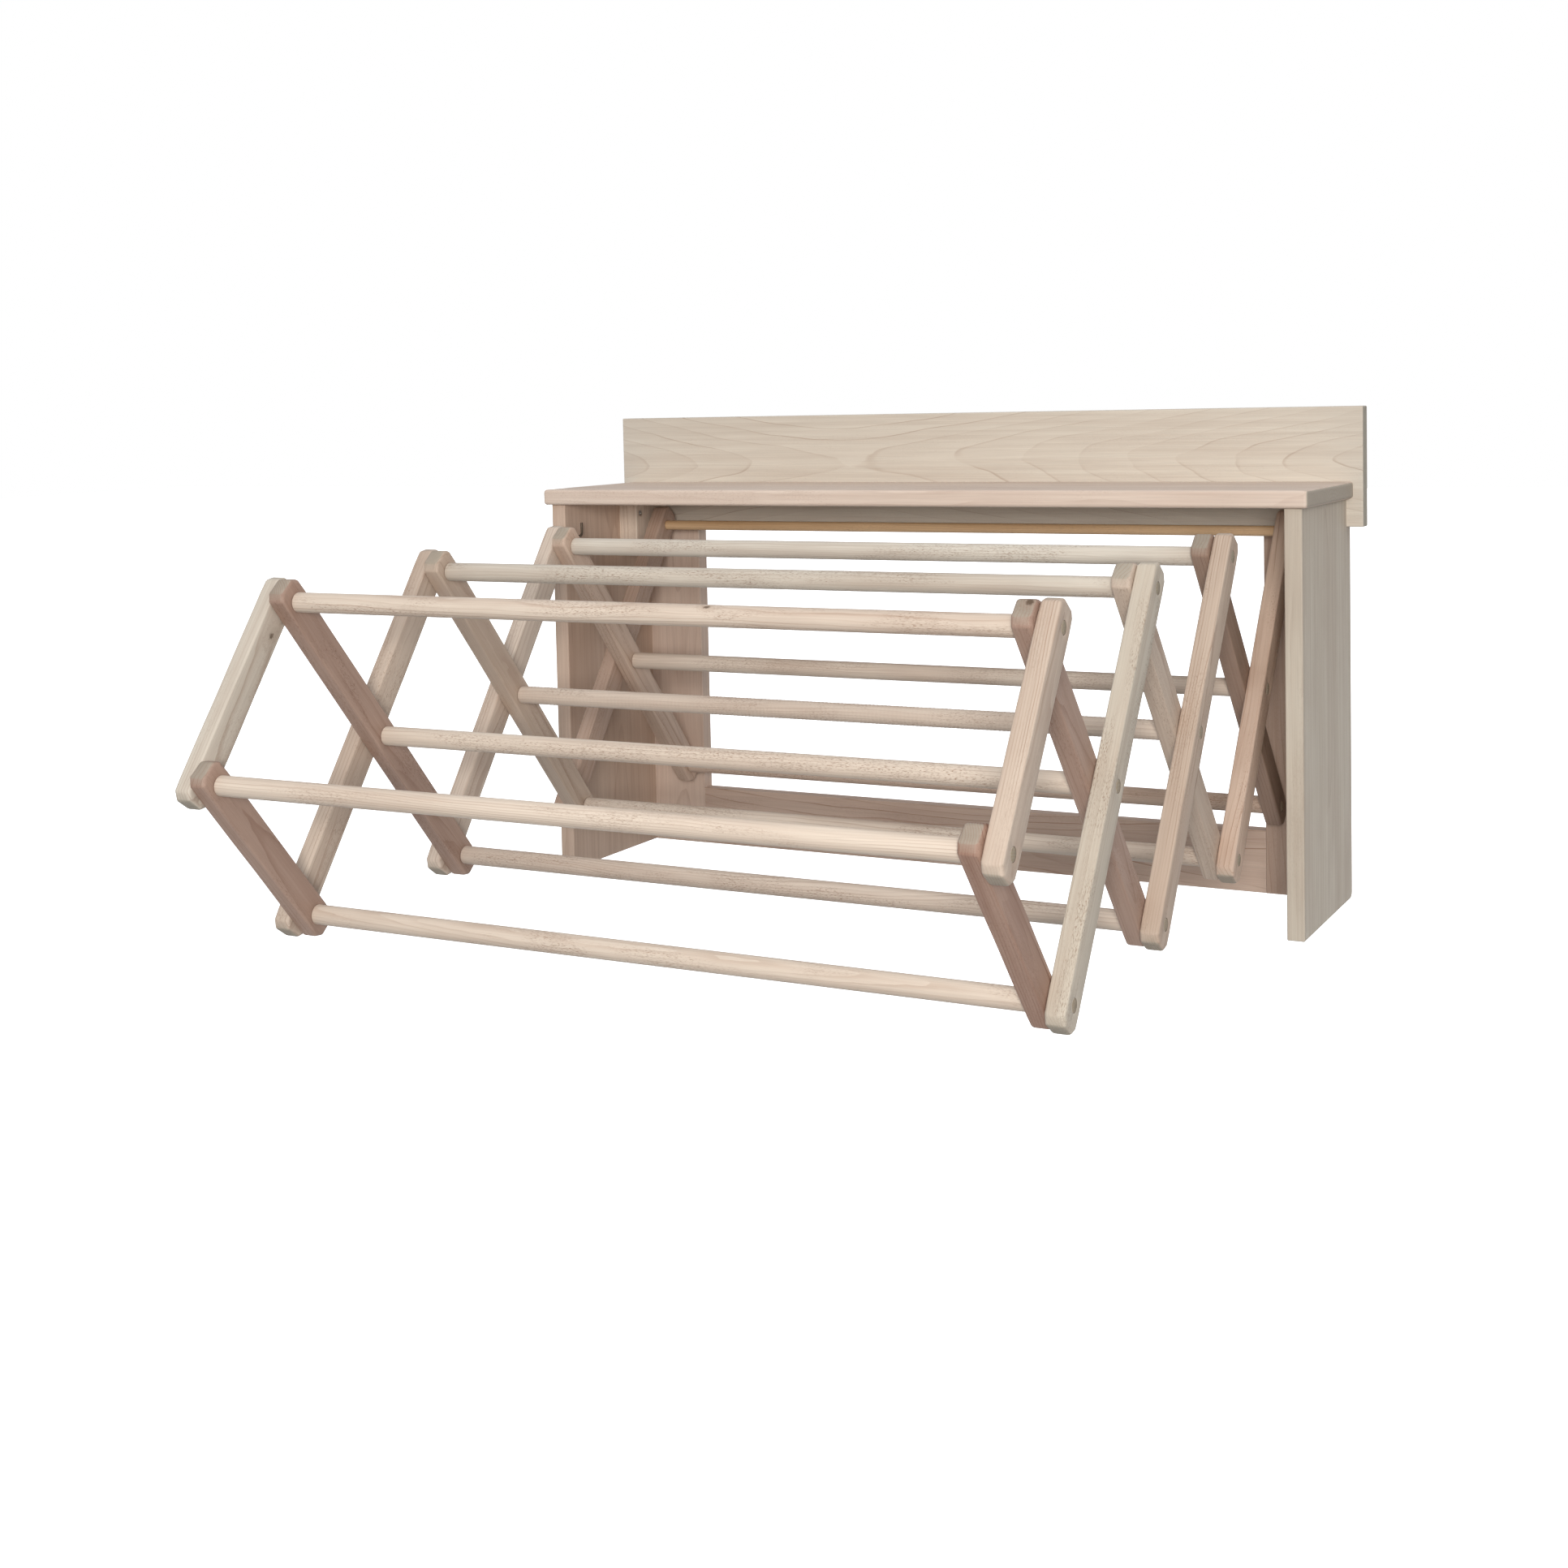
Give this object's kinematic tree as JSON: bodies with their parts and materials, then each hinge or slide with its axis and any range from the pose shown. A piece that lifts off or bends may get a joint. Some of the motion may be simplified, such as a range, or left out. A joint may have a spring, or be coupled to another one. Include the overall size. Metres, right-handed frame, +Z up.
{
  "type": "wall mounted drying rack",
  "caption": "Wooden wall case with a shelf on top, holding a scissor rack of slats and round rods that pulls straight out for drying laundry and folds back into the case.",
  "frame": {"origin": "middle of the back board's rear face, on the wall", "axes": "+X to the right as seen by someone facing the wall, +Y into the wall, +Z up"},
  "size_m": [0.972, 0.9367, 0.5604],
  "materials": {
    "case_wood": "raw maple, sanded",
    "slat_wood": "raw maple, sanded",
    "rod_wood": "raw maple dowel, turned",
    "golden_dowel": "raw golden hardwood dowel",
    "joint_dowel": "raw beech",
    "steel": "zinc plated"
  },
  "bodies": {
    "case": {"top_shelf": "case_wood", "back_board": "case_wood", "bottom_rail": "case_wood", "shelf_dowels": "joint_dowel", "stile_dowels": "joint_dowel", "board_dowels": "joint_dowel", "rail_dowels": "joint_dowel", "board_screws": "steel", "catch_hook": "steel", "side_panel_left": "case_wood", "rear_stile_left": "case_wood", "pivot_block_left": "case_wood", "block_screws_left": "steel", "keyhole_plate_left": "steel", "keyhole_screws_left": "steel", "side_panel_right": "case_wood", "rear_stile_right": "case_wood", "pivot_block_right": "case_wood", "block_screws_right": "steel", "keyhole_plate_right": "steel", "keyhole_screws_right": "steel"},
    "outer_frame_1": {"outer_slat_1_left": "slat_wood", "outer_slat_1_right": "slat_wood", "upper_rear_dowel": "golden_dowel", "middle_rod_1": "rod_wood", "bottom_rod_1": "rod_wood"},
    "inner_frame_1": {"inner_slat_1_left": "slat_wood", "inner_slat_1_right": "slat_wood", "bottom_rod_0": "rod_wood"},
    "outer_frame_2": {"outer_slat_2_left": "slat_wood", "outer_slat_2_right": "slat_wood", "top_rod_1": "rod_wood", "middle_rod_2": "rod_wood", "bottom_rod_2": "rod_wood"},
    "inner_frame_2": {"inner_slat_2_left": "slat_wood", "inner_slat_2_right": "slat_wood"},
    "outer_frame_3": {"outer_slat_3_left": "slat_wood", "outer_slat_3_right": "slat_wood", "top_rod_2": "rod_wood", "middle_rod_3": "rod_wood", "bottom_rod_3": "rod_wood"},
    "inner_frame_3": {"inner_slat_3_left": "slat_wood", "inner_slat_3_right": "slat_wood"},
    "outer_frame_4": {"outer_slat_4_left": "slat_wood", "outer_slat_4_right": "slat_wood", "top_rod_3": "rod_wood", "middle_rod_4": "rod_wood"},
    "inner_frame_4": {"inner_slat_4_left": "slat_wood", "inner_slat_4_right": "slat_wood"}
  },
  "joints": [
    {"name": "rack_fold", "type": "hinge", "parent": "case", "child": "outer_frame_1", "pos_m": [0, -0.05547, -0.07075], "axis": [1, 0, 0], "range_deg": [0, 33.2]},
    {"name": "crossing_1", "type": "hinge", "parent": "outer_frame_1", "child": "inner_frame_1", "pos_m": [0, -0.17275, -0.23276], "axis": [1, 0, 0], "range_deg": [-66.4, 0]},
    {"name": "top_pivot_1", "type": "hinge", "parent": "inner_frame_1", "child": "outer_frame_2", "pos_m": [0, -0.30264, -0.08068], "axis": [1, 0, 0], "range_deg": [0, 66.4]},
    {"name": "crossing_2", "type": "hinge", "parent": "outer_frame_2", "child": "inner_frame_2", "pos_m": [0, -0.41991, -0.24269], "axis": [1, 0, 0], "range_deg": [-66.4, 0]},
    {"name": "top_pivot_2", "type": "hinge", "parent": "inner_frame_2", "child": "outer_frame_3", "pos_m": [0, -0.5498, -0.0906], "axis": [1, 0, 0], "range_deg": [0, 66.4]},
    {"name": "crossing_3", "type": "hinge", "parent": "outer_frame_3", "child": "inner_frame_3", "pos_m": [0, -0.66707, -0.25261], "axis": [1, 0, 0], "range_deg": [-66.4, 0]},
    {"name": "top_pivot_3", "type": "hinge", "parent": "inner_frame_3", "child": "outer_frame_4", "pos_m": [0, -0.79697, -0.10053], "axis": [1, 0, 0], "range_deg": [0, 66.4]},
    {"name": "front_pivot", "type": "hinge", "parent": "outer_frame_4", "child": "inner_frame_4", "pos_m": [0, -0.91424, -0.26254], "axis": [1, 0, 0], "range_deg": [-66.4, 0]}
  ],
  "couplings": [
    {"joint": "crossing_1", "follows": "rack_fold", "ratio": -2},
    {"joint": "top_pivot_1", "follows": "rack_fold", "ratio": 2},
    {"joint": "crossing_2", "follows": "rack_fold", "ratio": -2},
    {"joint": "top_pivot_2", "follows": "rack_fold", "ratio": 2},
    {"joint": "crossing_3", "follows": "rack_fold", "ratio": -2},
    {"joint": "top_pivot_3", "follows": "rack_fold", "ratio": 2},
    {"joint": "front_pivot", "follows": "rack_fold", "ratio": -2}
  ]
}
